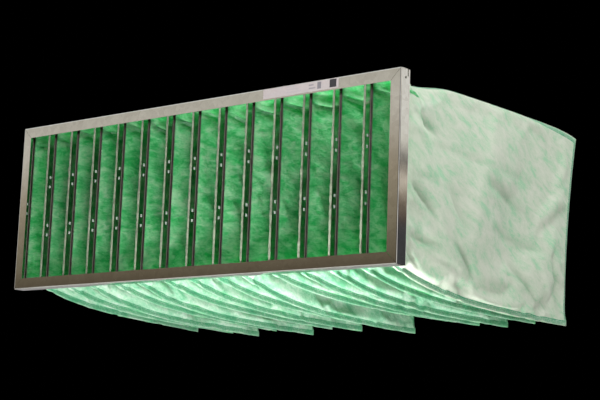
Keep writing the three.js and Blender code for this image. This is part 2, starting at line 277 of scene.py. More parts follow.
# Cubic spread of a coarse grid's rows over more rows
def spreadRows(values, count):
    place = np.linspace(1, len(values) - 2 - 1e-6, count)
    base = np.floor(place).astype(int)
    t = (place - base)[:, None]
    parts = [-t + 2 * t**2 - t**3, 2 - 5 * t**2 + 3 * t**3, t + 4 * t**2 - 3 * t**3, -(t**2) + t**3]
    return sum(part * values[base - 1 + k] for k, part in enumerate(parts)) / 2


def smoothNoise(rng, shape, cells):
    coarse = rng.uniform(-1, 1, (cells[0] + 3, cells[1] + 3))
    return spreadRows(spreadRows(coarse, shape[0]).T, shape[1]).T


# A soft fold along a line on the panel, deepest in its middle
def creaseOffset(along, height, start, stop, halfWidth, depth):
    ax, az = start
    dx, dz = stop[0] - ax, stop[1] - az
    length = math.hypot(dx, dz)
    run = ((along - ax) * dx + (height - az) * dz) / length
    across = ((along - ax) * dz - (height - az) * dx) / length
    ends = np.clip(run / length, 0, 1)
    beyond = np.maximum(0, np.maximum(-run, run - length))
    fade = np.sin(np.pi * np.clip(0.12 + 0.76 * ends, 0, 1)) * bell(beyond, halfWidth)
    return depth * fade * np.exp(-np.abs(across) / halfWidth)


# The crumple of a panel that has been folded and packed flat: straight facets in a few directions
def crumple(rng, along, height):
    field = np.zeros_like(along)
    for layer in range(panelForm["crumpleFacets"]):
        turn = rng.uniform(0, math.pi)
        length = rng.uniform(*panelForm["crumpleLength"])
        phase = (along * math.cos(turn) + height * math.sin(turn)) / length + rng.uniform(0, 1)
        facet = 2 * np.abs(2 * (phase - np.floor(phase + 0.5))) - 1
        mask = np.clip(smoothNoise(rng, along.shape, (5, 4)) + 0.15, 0, 1)
        field += facet * mask * length / 0.1 * panelForm["crumple"]
    return field


# The panel rolls over just above the bottom seam, and a hollow follows
def seamRoll(rng, grids):
    above = (1 - grids["down"]) * 2 * (pocketForm["mouthHalfWidth"] + pocketForm["mouthHalfHeight"])
    strength = panelForm["seamRoll"] * (0.8 + 0.6 * smoothNoise(rng, above.shape, (7, 2)))
    strength = strength * np.clip(grids["share"] / 0.1, 0, 1)
    return strength * (bell(above - 0.014, 0.009) - 1.1 * bell(above - 0.042, 0.014))


# Gathers where the sleeve's square mouth is drawn into the seam strips
def gathers(rng, grids):
    along = grids["share"] * pocketForm["freeLength"]
    near = bell(along - 0.040, 0.030)
    edges = bell(grids["down"] - 0.02, 0.09) + 1.4 * bell(grids["down"] - 0.97, 0.10)
    twist = smoothNoise(rng, along.shape, (4, 6)) * 4.8
    rib = np.sin(2 * math.pi * (grids["height"] + along * 0.65) / panelForm["gatherPitch"] + twist)
    return panelForm["gather"] * near * edges * rib


# A crease in a random place
def randomCrease(rng, along, height):
    startAt = tuple(rng.uniform(*reach) for reach in panelForm["creaseStart"])
    turn = rng.normal(*panelForm["creaseTurn"])
    reach = rng.uniform(*panelForm["creaseReach"])
    stopAt = (startAt[0] + reach * math.cos(turn), startAt[1] + reach * math.sin(turn))
    halfWidth = rng.uniform(*panelForm["creaseHalfWidth"])
    depth = rng.choice([-1, 1]) * rng.uniform(*panelForm["creaseDepth"])
    return creaseOffset(along, height, startAt, stopAt, halfWidth, depth)


# Outward, a panel stays clear of the pocket next to it
def keepClear(offset, room):
    return np.where(offset > 0, room * np.tanh(offset / room), offset)


# The small form of one panel, and the painted shade of its creases (plus) and painted highlight of its raised
# folds (minus)
def panelSurface(number, side, grids):
    rng = np.random.RandomState(100 * number + side + 7)
    outerRight = number == pocketForm["count"] and side == 1
    along = grids["share"] * pocketForm["freeLength"]
    free = np.clip(along / panelForm["looseLength"], 0, 1) * grids["puff"] ** 0.5
    free = free * np.clip((1 - grids["share"]) / 0.02, 0, 1)
    pressed = np.zeros_like(along)
    offset = crumple(rng, along, grids["height"])
    offset += panelForm["swell"] * smoothNoise(rng, along.shape, (9, 6)) * np.clip(grids["share"] / 0.2, 0, 1)
    if outerRight:
        offset *= panelForm["outerGain"]
        creases = sum(creaseOffset(along, grids["height"], *crease) for crease in outerCreases)
        offset += creases
        # painted shade in the deep creases, less a painted highlight on the raised ones
        pressed = np.clip(-creases / panelForm["fullShadeDepth"], 0, 1) ** 1.2
        pressed = pressed - panelForm["highlightShare"] * np.clip(creases / panelForm["fullHighlightHeight"], 0, 1) ** 2
    else:
        for crease in range(panelForm["creases"]):
            offset += randomCrease(rng, along, grids["height"])
    offset = (offset + seamRoll(rng, grids)) * free + mainFolds(number, side, grids) + gathers(rng, grids)
    room = np.maximum(0.0, pocketForm["pitch"] / 2 - grids["halfWidth"] - 0.0004) * 0.8 + 0.0005
    if outerRight:
        room = room + panelForm["outerRoom"]
    return keepClear(offset, room), pressed * free


print("pockets: shapes")
panels = []
for number, end in enumerate(pocketEnds, 1):
    grids = panelGrids(number, end)
    sides = {}
    for side in (1, -1):
        sides[side], grids["pressed", side] = panelSurface(number, side, grids)
    panels.append((grids, sides))


# The faces of a tube of points, in rows around it
def gridFaces(rows, around, offset, flip):
    r, c = np.meshgrid(np.arange(rows - 1), np.arange(around), indexing="ij")
    here, beside = r * around + c, r * around + (c + 1) % around
    quads = np.stack([here, beside, beside + around, here + around], axis=-1).reshape(-1, 4) + offset
    return quads[:, ::-1] if flip else quads


clothForm = {
    "frames": 18,
    "slack": -0.020,  # the sheet is cut this share larger
    "gravity": 0.2,
    "most": 0.006,  # no point moves further than this
    "seamHold": 0.6,
}
clothSettings = {
    "quality": 5,
    "mass": 0.15,
    "tension_stiffness": 25,
    "compression_stiffness": 25,
    "shear_stiffness": 15,
    "bending_stiffness": 0.35,
    "air_damping": 4,
    "vertex_group_mass": "held",
    "shrink_min": clothForm["slack"],
}


# Lets the coarse pockets settle as cloth, all of them at once, and returns how each point moved
def settlePockets():
    pieces = []
    for number, (grids, sides) in enumerate(panels, 1):
        rows = range(0, grids["depth"].shape[0], 2)
        columns = range(0, grids["depth"].shape[1], 2)
        picked = np.ix_(list(rows), list(columns))
        ring = []
        for side in (1, -1):
            x = grids["middleX"][picked] + side * (grids["standOff"] + sides[side])[picked]
            points = np.stack([x, grids["depth"][picked], grids["height"][picked]], axis=-1)
            ring.append(points if side == 1 else points[:, ::-1])
        points = np.concatenate(ring, axis=1)
        count, around = points.shape[:2]
        mesh = bpy.data.meshes.new(f"settling_{number:02d}")
        mesh.from_pydata(points.reshape(-1, 3).tolist(), [], gridFaces(count, around, 0, False).tolist())
        piece = bpy.data.objects.new(mesh.name, mesh)
        bpy.context.scene.collection.objects.link(piece)
        held = piece.vertex_groups.new(name="held")
        half = around // 2
        for r in range(count):
            for c in range(around):
                column = c if c < half else around - 1 - c
                share = grids["share"][picked][r, column]
                seam = column <= 1 or column >= half - 2
                fixed = share < 0.03 or r >= count - 2
                weight = 1.0 if fixed else (clothForm["seamHold"] if seam else 0.0)
                if weight:
                    held.add([r * around + c], weight, "REPLACE")
        cloth = piece.modifiers.new("settle", "CLOTH")
        for setting, value in clothSettings.items():
            setattr(cloth.settings, setting, value)
        cloth.settings.effector_weights.gravity = clothForm["gravity"]
        cloth.collision_settings.use_collision = False
        cloth.point_cache.frame_start = 1
        cloth.point_cache.frame_end = clothForm["frames"]
        pieces.append((piece, points))
    for step in range(1, clothForm["frames"] + 1):
        bpy.context.scene.frame_set(step)
    depsgraph = bpy.context.evaluated_depsgraph_get()
    moved = []
    for piece, points in pieces:
        shape = piece.evaluated_get(depsgraph).to_mesh()
        co = np.zeros(len(shape.vertices) * 3)
        shape.vertices.foreach_get("co", co)
        change = co.reshape(points.shape) - points
        length = np.linalg.norm(change, axis=-1, keepdims=True)
        change *= np.minimum(1, clothForm["most"] / np.maximum(length, 1e-9))
        half = points.shape[1] // 2
        moved.append({1: change[:, :half], -1: change[:, half:][:, ::-1]})
        bpy.data.objects.remove(piece)
    bpy.context.scene.frame_set(1)
    return moved


# Doubles a coarse grid's rows, with a smooth curve through them
def doubleRows(values):
    padded = np.concatenate([2 * values[:1] - values[1:2], values, 2 * values[-1:] - values[-2:-1]])
    between = (9 * (padded[1:-2] + padded[2:-1]) - padded[:-3] - padded[3:]) / 16
    result = np.empty((2 * len(values) - 1,) + values.shape[1:])
    result[::2], result[1::2] = values, between
    return result


settled = settlePockets()
print("pockets: settled as cloth")


# sRGB hex to the linear colour that Blender works in
def linear(hexColour):
    parts = [int(hexColour[i:i + 2], 16) / 255 for i in (1, 3, 5)]
    return tuple(c / 12.92 if c <= 0.04045 else ((c + 0.055) / 1.055) ** 2.4 for c in parts) + (1.0,)


# One node with its settings, and links to its inputs
def addNode(tree, kind, settings=None, links=None):
    node = tree.nodes.new(kind)
    for name, value in (settings or {}).items():
        if isinstance(name, int) or name in node.inputs:
            node.inputs[name].default_value = value
        else:
            setattr(node, name, value)
    for name, source in (links or {}).items():
        tree.links.new(source, node.inputs[name])
    return node


def newMaterial(name):
    material = bpy.data.materials.new(name)
    material.use_nodes = True
    material.node_tree.nodes.clear()
    return material, material.node_tree


# Galvanised steel sheet, cold rolled then zinc coated: a dull metal with faint crystals and a slight wave
def makeGalvanisedSheet(name, pale, dark, roughness, wave, metal=1.0):
    material, tree = newMaterial(name)
    place = {"Vector": addNode(tree, "ShaderNodeTexCoord").outputs["Object"]}
    crystals = addNode(tree, "ShaderNodeTexVoronoi", {"Scale": 1 / 0.009, "Randomness": 1.0}, place)
    clouds = addNode(tree, "ShaderNodeTexNoise", {"Scale": 1 / 0.06, "Detail": 4.0, "Roughness": 0.6}, place)
    crystalGrey = addNode(tree, "ShaderNodeSeparateColor", links={"Color": crystals.outputs["Color"]})
    links = {0: crystalGrey.outputs["Red"], 2: clouds.outputs["Fac"]}
    both = addNode(tree, "ShaderNodeMath", {"operation": "MULTIPLY_ADD", 1: 0.35}, links)
    tone = addNode(tree, "ShaderNodeMapRange", {"From Min": 0.35, "From Max": 1.0}, {"Value": both.outputs[0]})
    tones = {"data_type": "RGBA", 6: linear(dark), 7: linear(pale)}
    colour = addNode(tree, "ShaderNodeMix", tones, {0: tone.outputs[0]})
    reach = {"From Min": 0.3, "From Max": 0.8, "To Min": 0.75 * roughness, "To Max": 1.35 * roughness}
    dull = addNode(tree, "ShaderNodeMapRange", reach, {"Value": clouds.outputs["Fac"]})
    waves = addNode(tree, "ShaderNodeTexNoise", {"Scale": 1 / 0.07, "Detail": 1.0}, place)
    relief = {"Strength": 1.0, "Distance": wave}
    bump = addNode(tree, "ShaderNodeBump", relief, {"Height": waves.outputs["Fac"]})
    links = {"Base Color": colour.outputs[2], "Roughness": dull.outputs[0], "Normal": bump.outputs[0]}
    shader = addNode(tree, "ShaderNodeBsdfPrincipled", {"Metallic": metal}, links)
    addNode(tree, "ShaderNodeOutputMaterial", links={"Surface": shader.outputs[0]})
    return material


# Where two layers are welded: a flat band along the edge, printed with the welding roll's dots, and a line of
# painted shade along its inner edge
def addSeam(tree, colour, seams, edgePlace):
    along = addNode(tree, "ShaderNodeSeparateXYZ", links={"Vector": edgePlace})
    toEnd = addNode(tree, "ShaderNodeMath", {"operation": "SUBTRACT", 0: seams["end"]}, {1: along.outputs["Y"]})
    widened = {"operation": "MULTIPLY_ADD", 1: 1.4, 2: 0.003}
    fromEnd = addNode(tree, "ShaderNodeMath", widened, {0: toEnd.outputs[0]})
    edges = {0: along.outputs["X"], 1: fromEnd.outputs[0]}
    inward = addNode(tree, "ShaderNodeMath", {"operation": "MINIMUM"}, edges)
    reach = addNode(tree, "ShaderNodeMapRange", {"From Max": seams["reach"]}, {"Value": inward.outputs[0]})
    band = addNode(tree, "ShaderNodeValToRGB", links={"Fac": reach.outputs[0]})
    for element in band.color_ramp.elements:
        element.color = (0, 0, 0, 1)
    for at, level in seams["band"]:
        band.color_ramp.elements.new(at).color = (level, level, level, 1)
    roll = {"Scale": 1 / seams["dots"], "Randomness": 0.45}
    dots = addNode(tree, "ShaderNodeTexVoronoi", roll, {"Vector": edgePlace})
    contrast = {"From Min": 0.2, "From Max": 0.5, "To Min": 0.35, "To Max": 1.0}
    speck = addNode(tree, "ShaderNodeMapRange", contrast, {"Value": dots.outputs["Distance"]})
    printed = {0: band.outputs["Color"], 1: speck.outputs[0]}
    share = addNode(tree, "ShaderNodeMath", {"operation": "MULTIPLY"}, printed)
    tones = {"data_type": "RGBA", 7: linear(seams["colour"])}
    return addNode(tree, "ShaderNodeMix", tones, {0: share.outputs[0], 6: colour}).outputs[2]


# Spun and air-laid polyester fibre: matt, cloudy where the fibre lies thicker, and light comes through it green
def makeFibre(name, fibre):
    material, tree = newMaterial(name)
    coordinates = addNode(tree, "ShaderNodeTexCoord")
    laying = {"vector_type": "TEXTURE", "Scale": (1.0, 2.1, 0.8), "Rotation": (fibre["slope"], 0.0, 0.0)}
    laid = addNode(tree, "ShaderNodeMapping", laying, {"Vector": coordinates.outputs["Object"]})
    place = {"Vector": laid.outputs[0]}
    cloudy = {"Scale": 1 / fibre["cloudSize"], "Detail": 7.0, "Roughness": 0.66, "Distortion": 0.5}
    clouds = addNode(tree, "ShaderNodeTexNoise", cloudy, place)
    stringy = {"Scale": 1 / fibre["strandSize"], "Detail": 4.0, "Roughness": 0.7, "Distortion": 1.0}
    strands = addNode(tree, "ShaderNodeTexNoise", stringy, place)
    links = {0: strands.outputs["Fac"], 2: clouds.outputs["Fac"]}
    both = addNode(tree, "ShaderNodeMath", {"operation": "MULTIPLY_ADD", 1: 0.5}, links).outputs[0]
    tone = addNode(tree, "ShaderNodeMapRange", {"From Min": 0.60, "From Max": 0.90}, {"Value": both}).outputs[0]
    ramp = addNode(tree, "ShaderNodeValToRGB", links={"Fac": tone})
    ramp.color_ramp.elements[0].color = linear(fibre["colours"][0])
    ramp.color_ramp.elements[1].color = linear(fibre["colours"][2])
    ramp.color_ramp.elements.new(0.45).color = linear(fibre["colours"][1])
    glow = {"data_type": "RGBA", 6: linear(fibre["glow"][0]), 7: linear(fibre["glow"][1])}
    deep = addNode(tree, "ShaderNodeMix", glow, {0: tone}).outputs[2]
    # the pressed attribute paints shade into creases and under folds (plus) and a highlight onto crests
    # (minus), on the surface colour and on the light coming through it
    pressed = {0: addNode(tree, "ShaderNodeAttribute", {"attribute_name": "pressed"}).outputs["Fac"]}
    times = {"operation": "MULTIPLY", "use_clamp": True}
    shadeMix = addNode(tree, "ShaderNodeMath", {**times, 1: 0.7}, pressed).outputs[0]
    highlightMix = addNode(tree, "ShaderNodeMath", {**times, 1: -0.7}, pressed).outputs[0]
    paintedShadeColour = {"data_type": "RGBA", 7: linear(fibre["paintedShadeColour"])}
    paintedHighlightColour = {"data_type": "RGBA", 7: linear(fibre["paintedHighlightColour"])}
    colour = addNode(tree, "ShaderNodeMix", paintedShadeColour, {0: shadeMix, 6: ramp.outputs["Color"]}).outputs[2]
    colour = addNode(tree, "ShaderNodeMix", paintedHighlightColour, {0: highlightMix, 6: colour}).outputs[2]
    deep = addNode(tree, "ShaderNodeMix", paintedShadeColour, {0: shadeMix, 6: deep}).outputs[2]
    if fibre["seams"]:
        colour = addSeam(tree, colour, fibre["seams"], coordinates.outputs["UV"])
    relief = {"Strength": 0.6, "Distance": fibre["fluff"]}
    bump = addNode(tree, "ShaderNodeBump", relief, {"Height": both}).outputs[0]
    matt = {"Roughness": 0.9, "Specular IOR Level": 0.25, "Sheen Weight": 0.12, "Sheen Roughness": 0.6}
    shader = addNode(tree, "ShaderNodeBsdfPrincipled", matt, {"Base Color": colour, "Normal": bump})
    passing = addNode(tree, "ShaderNodeBsdfTranslucent", links={"Color": deep, "Normal": bump})
    shaders = {1: shader.outputs[0], 2: passing.outputs[0]}
    mixed = addNode(tree, "ShaderNodeMixShader", {0: fibre["through"]}, shaders)
    addNode(tree, "ShaderNodeOutputMaterial", links={"Surface": mixed.outputs[0]})
    return material


seamFinish = {
    "end": pocketForm["frameRear"] + pocketForm["freeLength"],
    "reach": 0.012,
    # the band's strongest part, along its inner edge, is painted shade of the crease above the seam
    "band": ((0.14, 0.0), (0.19, 0.75), (0.58, 0.75), (0.66, 1.0), (0.76, 1.0), (0.86, 0.0)),
    "dots": 0.0032,
    "colour": "#2f9068",
}
# the outermost side: the fibre's own grey green, nearly closed to light; the panels between pockets take a copy
# painted greener
fibreOutside = makeFibre("Polyester fibre outermost", {
    "colours": ("#a0caa8", "#bfcbb8", "#cbcfc1"), "paintedShadeColour": "#7f9f80", "paintedHighlightColour": "#dfe9dc",
    "glow": ("#30c168", "#74dd9a"), "through": 0.20, "fluff": 0.0006,
    "cloudSize": 0.021, "strandSize": 0.0040, "slope": -0.52, "seams": seamFinish,
})
# in between the pockets: a copy of the same fibre with painted green shade, standing in for the light that
# crosses layer after layer and turns greener
fibreBetweenGreenShade = makeFibre("Polyester fibre between pockets, painted green shade", {
    "colours": ("#7fcca2", "#addfbf", "#dcf0e1"), "paintedShadeColour": "#6fa585", "paintedHighlightColour": "#dfe9dc",
    "glow": ("#1fb965", "#62d89a"), "through": 0.46, "fluff": 0.0007,
    "cloudSize": 0.030, "strandSize": 0.005, "slope": -0.52, "seams": seamFinish,
})
# the lofty side that meets the air: thick and soft, with painted deep green shade in its folds and a painted
# highlight on their crests
fibreInside = makeFibre("Polyester fibre inside", {
    "colours": ("#35b866", "#75d493", "#bee9c3"), "paintedShadeColour": "#0f5a2c", "paintedHighlightColour": "#c3e3c2",
    "glow": ("#40cc7c", "#96e4b1"), "through": 0.60, "fluff": 0.0040,
    "cloudSize": 0.021, "strandSize": 0.006, "slope": 0.08, "seams": None,
})
# cut with a knife and frayed: the fibre ends hold dust, and the eye sees a dark line along the lip
fibreCut = makeFibre("Cut fibre edge", {
    "colours": ("#6c7462", "#87907b", "#a1a993"), "paintedShadeColour": "#6fa585", "paintedHighlightColour": "#dfe9dc",
    "glow": ("#8f9c80", "#a8b498"), "through": 0.15, "fluff": 0.0020,
    "cloudSize": 0.020, "strandSize": 0.004, "slope": -0.52, "seams": None,
})
# fresh zinc on flat sheet mirrors the studio softly, folded strip a little less
galvanisedSheet = makeGalvanisedSheet("Galvanised header sheet", "#d0cec8", "#c2bfb8", 0.06, 0.00004)
stripSteel = makeGalvanisedSheet("Galvanised strip", "#cfcdc8", "#bebbb4", 0.11, 0.0001)
# the strip's bent flange: the same zinc, painted a darker brown grey as shade
stripFlangeShade = makeGalvanisedSheet("Strip flange, painted shade", "#77716a", "#625d56", 0.24, 0.0001)
# zinc roughened by the press scatters light like pale paint, with a painted green reflection of the fibre
# beside it
pressedSteelGreenCast = makeGalvanisedSheet("Pressed steel marks, painted green reflection", "#a9b3aa", "#97a39a", 0.5, 0.0001, 0.3)
print("materials: steel and fibre")


# Folds of the lofty inner side, high up behind the frame, where the sleeve is drawn together, and the painted
# shade below each fold and painted highlight on its crest
def topFolds(rng, grids):
    form = innerForm
    along = grids["share"] * pocketForm["freeLength"]
    wander = smoothNoise(rng, along.shape, (6, 3))
    crest = form["crest"] + form["crestWander"] * wander + form["crestSlope"] * (along - 0.045)
    below = grids["down"] - crest
    fold = np.where(below < 0, bell(below, 0.045), bell(below, 0.011)) * bell(along - 0.050, 0.040)
    trough = bell(below - 0.034, 0.016) * bell(along - 0.045, 0.035)
    second = bell(below - 0.075, 0.020) * bell(along - 0.040, 0.030) * (0.5 + wander).clip(0)
    drawnBelow = bell(grids["down"] - 0.95, 0.05) * bell(along - 0.040, 0.035)
    offset = form["fold"] * fold - form["trough"] * trough
    offset = offset + form["secondFold"] * second + form["foldBelow"] * drawnBelow
    # painted shade in the trough below the fold and a painted highlight on its crest
    foldShadeAndHighlight = form["troughShade"] * bell(below - 0.020, 0.015) * bell(along - 0.045, 0.045)
    foldShadeAndHighlight = foldShadeAndHighlight * (0.75 + 0.6 * smoothNoise(rng, along.shape, (12, 9)))
    return offset, foldShadeAndHighlight - form["crestHighlight"] * fold


# One panel of a pocket: its points outside and inside, where they lie along the seams, and the painted
# shade and highlight of its creases and folds
def pocketSide(number, side, grids, offset, moved):
    form = pocketForm
    distance, total = ringColumns()
    standOff = grids["standOff"] + offset
    depth, height = grids["depth"].copy(), grids["height"].copy()
    if moved is not None:
        change = doubleRows(doubleRows(moved).transpose(1, 0, 2)).transpose(1, 0, 2)
        loose = np.clip((grids["share"] - 0.02) / 0.06, 0, 1) * np.clip(grids["down"] / 0.12, 0.1, 1)
        room = np.maximum(0.0002, (form["pitch"] / 2 - grids["halfWidth"]) * 0.8)
        standOff = standOff + keepClear(side * change[..., 0] * loose, room)
        depth = depth + change[..., 1] * loose
        height = height + change[..., 2] * loose
    standOff = np.maximum(standOff, form["halfSeam"])
    wall = np.where(grids["share"] > 0, form["wall"], form["mouthWall"])
    frayed = np.random.RandomState(900 + 2 * number + side).uniform(0.2, 1, standOff.shape[1])
    wall[:2] = form["mouthWall"] + innerForm["fray"] * frayed
    depth[0] = depth[0] - innerForm["frayedLip"] * frayed * grids["puff"][0]
    loft = np.random.RandomState(50 * number + side)
    fluff = innerForm["fluff"] + innerForm["fluffCoarse"] * smoothNoise(loft, standOff.shape, (34, 26))
    fluff = fluff + innerForm["fluffFine"] * smoothNoise(loft, standOff.shape, (60, 50))
    inside = np.clip((grids["share"] - 0.004) / 0.03, 0, 1) * grids["puff"]
    drawnIn = np.clip((grids["share"] - 0.006) / 0.02, 0, 1) * np.clip(grids["down"] / 0.02, 0, 1)
    folds, foldShadeAndHighlight = topFolds(loft, grids)
    wall = wall + fluff * inside + folds * drawnIn
    innerOff = np.maximum(standOff - wall, 0.00015)
    closed = 1 - grids["blend"]
    innerZ = grids["middleZ"] + (height - grids["middleZ"]) * (1 - closed * wall / grids["halfHeight"])
    height = height + side * grids["rollLift"]
    innerZ = innerZ + side * grids["rollLift"] * 0.2
    middleX = (number - (form["count"] + 1) / 2) * form["pitch"] + grids["middleX"] - grids["rollOver"]
    y = depth - header["depth"] / 2
    outer = np.stack([middleX + side * standOff, y, height + header["height"] / 2], axis=-1)
    inner = np.stack([middleX + side * innerOff, y, innerZ + header["height"] / 2], axis=-1)
    places = np.broadcast_arrays(np.minimum(distance, total - distance)[None, :], rowDepths()[:, None])
    order = slice(None) if side == 1 else slice(None, None, -1)
    pressed = grids["pressed", side]
    return [values[:, order] for values in (outer, inner[:-3], np.stack(places, axis=-1), pressed, foldShadeAndHighlight[:-3])]


# One pocket: its outer skin, its inner skin, the lip at the mouth and the closed end
def buildPocket(number, grids, sides, moved):
    name = f"pocket_{number:02d}"
    both = [pocketSide(number, side, grids, sides[side], moved and moved[side]) for side in (1, -1)]
    outer, inner, mapping, pressed, foldShadeAndHighlight = (np.concatenate(pair, axis=1) for pair in zip(*both))
    rows, around = outer.shape[:2]
    innerRows = inner.shape[0]
    start = rows * around
    half = around // 2
    ring = np.arange(around)
    beside = (ring + 1) % around
    lip = np.stack([ring, ring + start, beside + start, beside], axis=-1)
    j = np.arange(half - 1)
    last = (rows - 1) * around
    endFaces = np.stack([last + j, last + j + 1, last + around - 2 - j, last + around - 1 - j], axis=-1)
    last = start + (innerRows - 1) * around
    innerEnd = np.stack([last + j, last + around - 1 - j, last + around - 2 - j, last + j + 1], axis=-1)
    outerFaces = gridFaces(rows, around, 0, False)
    innerFaces = gridFaces(innerRows, around, start, True)
    faces = np.concatenate([outerFaces, endFaces, innerFaces, innerEnd, lip])
    points = np.concatenate([outer.reshape(-1, 3), inner.reshape(-1, 3)])
    places = np.concatenate([mapping.reshape(-1, 2), mapping[:innerRows].reshape(-1, 2)])
    mesh = bpy.data.meshes.new(name + "_fibre")
    mesh.from_pydata(points.tolist(), [], faces.tolist())
    outside, within, cut, between = range(4)  # the material slots
    # the panels between the pockets take the fibre copy painted in green shade
    finish = np.full(len(faces), between)
    rightSide = np.tile(np.arange(around) < half, rows - 1)
    if number == pocketForm["count"]:
        finish[:len(outerFaces)][rightSide] = outside
    if number == 1:
        finish[:len(outerFaces)][~rightSide] = outside
    innerStart = len(outerFaces) + len(endFaces)
    finish[innerStart:] = within
    finish[-len(lip):] = cut
    finish[:around] = cut
    finish[innerStart:innerStart + 2 * around] = cut
    mesh.polygons.foreach_set("material_index", finish)
    mesh.polygons.foreach_set("use_smooth", np.ones(len(faces), bool))
    layer = mesh.uv_layers.new(name="along")
    loops = np.zeros(len(mesh.loops), int)
    mesh.loops.foreach_get("vertex_index", loops)
    layer.data.foreach_set("uv", places[loops].ravel())
    # the pressed attribute carries the painted shade of creases and folds and the painted highlight of crests
    strength = np.concatenate([pressed.ravel(), foldShadeAndHighlight.ravel()])
    mesh.attributes.new("pressed", "FLOAT", "POINT").data.foreach_set("value", strength)
    for material in (fibreOutside, fibreInside, fibreCut, fibreBetweenGreenShade):
        mesh.materials.append(material)
    mesh.validate()
    piece = bpy.data.objects.new(name + "_fibre", mesh)
    bpy.context.scene.collection.objects.link(piece)
    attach(piece, "root")
    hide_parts(name)
    return piece


for number, (grids, sides) in enumerate(panels, 1):
    buildPocket(number, grids, sides, settled and settled[number - 1])
print("pockets: built")


def wear(node, material):
    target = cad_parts[node]
    target.data.materials.clear()
    target.data.materials.append(material)


for node in ("top_rail", "bottom_rail", "left_stile", "right_stile"):
    wear(node, galvanisedSheet)

stripForm = {
    "halfWidth": 0.02996,
    "halfHeight": 0.1457,
    "clinchPairs": (-0.046, 0.046),
    "clinchApart": 0.018,
    "clinchSize": (0.0040, 0.0052, 0.0013),  # deep, high, proud
    "clinchBehind": 0.0065,
    "clinchInset": 0.0006,
    "softAngle": 0.9,  # in radians; a sharper edge shows as an edge
    "shadedSteps": (3, 15),  # the bent flange in painted shade, counted along the section
}
# the strip's section: inward from its outer face, and behind the header's front, in millimetres
stripSection = [
    (0.0, 2.3), (0.0, 13.2), (0.2, 14.0), (0.7, 14.6), (1.5, 15.1), (2.6, 15.6), (3.6, 16.1),
    (3.9, 16.4), (4.2, 16.5), (4.4, 16.2), (4.4, 15.8), (4.1, 15.4), (3.7, 15.1), (2.6, 14.6),
    (1.7, 14.2), (1.2, 13.7), (0.8, 13.1), (0.7, 12.4), (0.7, 2.4),
]


# One strip frame: the folded section run round a rectangle, with clinch marks pressed into its flanks
def buildStrip(number):
    form = stripForm
    name = f"pocket_frame_{number:02d}"
    centreX = (number - (pocketForm["count"] + 1) / 2) * pocketForm["pitch"]
    front, middleZ = -header["depth"] / 2, header["height"] / 2
    points, faces = [], []
    size = len(stripSection)
    for signX, signZ in ((1, 1), (1, -1), (-1, -1), (-1, 1)):
        for inward, behind in stripSection:
            x = centreX + signX * (form["halfWidth"] - inward / 1000)
            points.append((x, front + behind / 1000, middleZ + signZ * (form["halfHeight"] - inward / 1000)))
    for corner in range(4):
        here, beyond = corner * size, (corner + 1) % 4 * size
        for step in range(size):
            after = (step + 1) % size
            faces.append((here + step, beyond + step, beyond + after, here + after))
    deep, high, proud = form["clinchSize"]
    for side in (1, -1):
        outermost = (number == 1 and side == -1) or (number == pocketForm["count"] and side == 1)
        for pair in ((0.0,) if outermost else form["clinchPairs"]):
            for offset in (-form["clinchApart"] / 2, form["clinchApart"] / 2):
                base = len(points)
                face = centreX + side * (form["halfWidth"] - form["clinchInset"])
                inner = face - side * proud
                frontY = front + form["clinchBehind"]
                rearY = frontY + deep
                edgeY = rearY - deep * 0.2
                low, top = middleZ + pair + offset - high / 2, middleZ + pair + offset + high / 2
                points += [(face, frontY, low), (face, frontY, top), (face, rearY, top), (face, rearY, low)]
                points += [(inner, edgeY, low + 0.0004), (inner, edgeY, top - 0.0004)]
                bump = ((0, 1, 5, 4), (4, 5, 2, 3), (0, 4, 3), (1, 2, 5), (0, 3, 2, 1))
                faces += [tuple(base + corner for corner in corners) for corners in bump]
    mesh = bpy.data.meshes.new(name + "_strip")
    mesh.from_pydata(points, [], faces)
    shape = bmesh.new()
    shape.from_mesh(mesh)
    bmesh.ops.recalc_face_normals(shape, faces=shape.faces)
    plain, pressed, dull = range(3)  # the material slots
    firstShaded, lastShaded = form["shadedSteps"]
    for face in shape.faces:
        face.smooth = True
        # the bent flange takes the strip steel painted in shade
        bent = firstShaded <= face.index % size <= lastShaded
        face.material_index = pressed if face.index >= 4 * size else dull if bent else plain
    for edge in shape.edges:
        mitre = edge.verts[0].index // size == edge.verts[1].index // size
        edge.smooth = edge.calc_face_angle(0) < form["softAngle"] and not mitre
    shape.to_mesh(mesh)
    shape.free()
    for material in (stripSteel, pressedSteelGreenCast, stripFlangeShade):
        mesh.materials.append(material)
    piece = bpy.data.objects.new(name + "_strip", mesh)
    bpy.context.scene.collection.objects.link(piece)
    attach(piece, "root")
    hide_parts(name)
    return piece


for number in range(1, pocketForm["count"] + 1):
    buildStrip(number)
print("strips: built")


